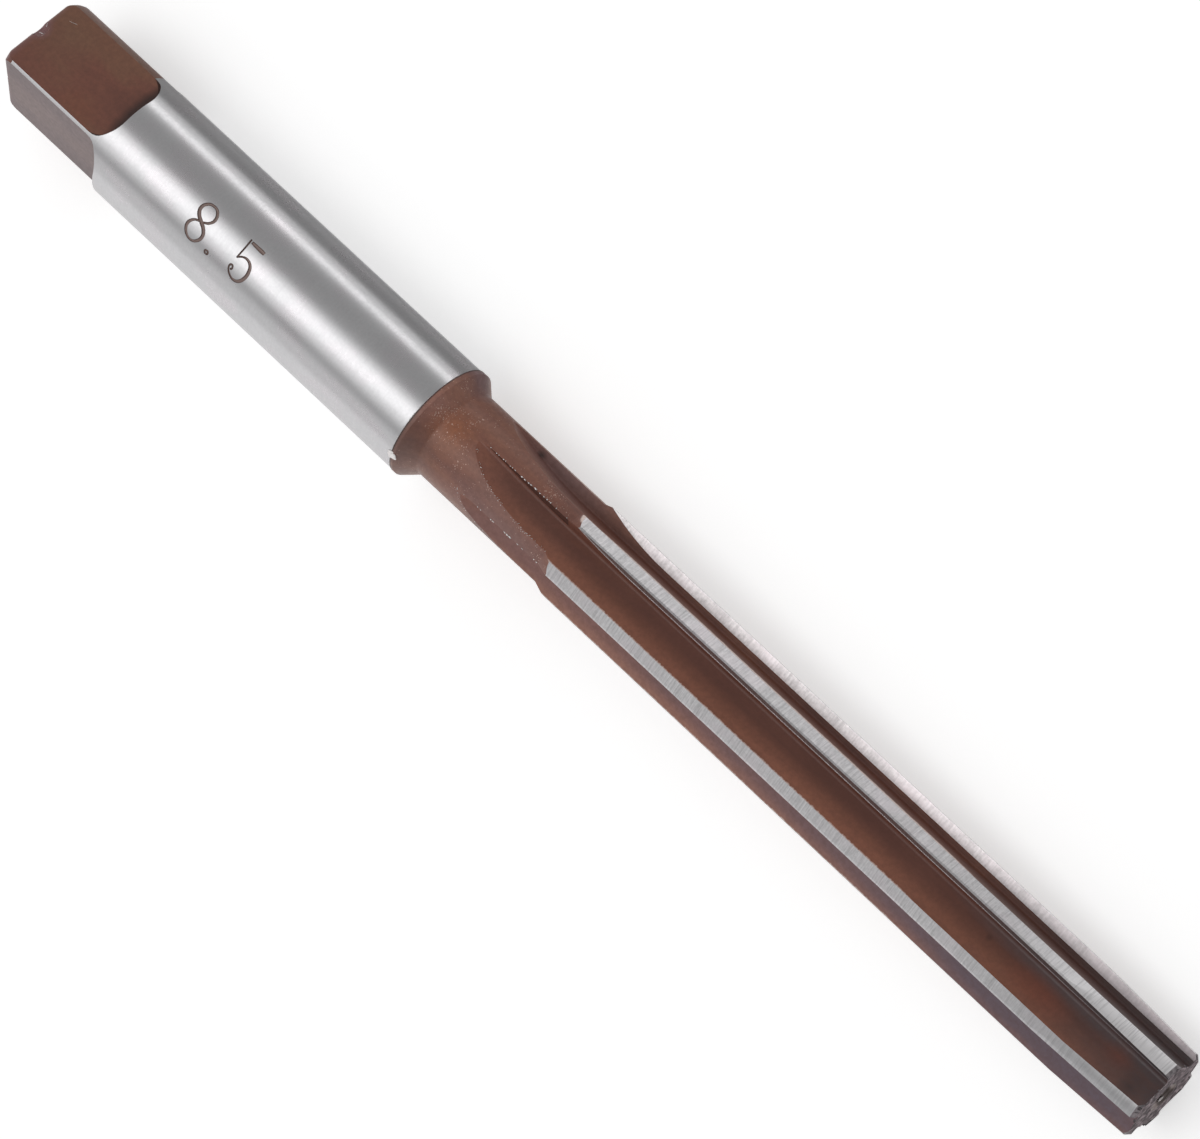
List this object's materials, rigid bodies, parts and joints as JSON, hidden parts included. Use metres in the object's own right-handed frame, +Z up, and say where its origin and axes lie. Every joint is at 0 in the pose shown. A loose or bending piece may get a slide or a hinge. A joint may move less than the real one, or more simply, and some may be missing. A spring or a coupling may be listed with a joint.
{
  "type": "hand reamer",
  "caption": "Straight-fluted hand reamer with a square tang for a tap wrench, a ground cylindrical shank, a narrower neck and a tapered lead at the tip.",
  "frame": {"origin": "centre of the tang's end face, on the reamer's axis", "axes": "+X along the axis from the tang to the cutting tip; +Z up, out of the middle of the widest gap between two teeth, so that the opposite gap faces the table"},
  "size_m": [0.12, 0.01, 0.01],
  "materials": {
    "tool_steel": "brown heat-treatment oxide with ground silver shank and lands"
  },
  "bodies": {
    "root": {"reamer": "tool_steel"}
  },
  "joints": []
}
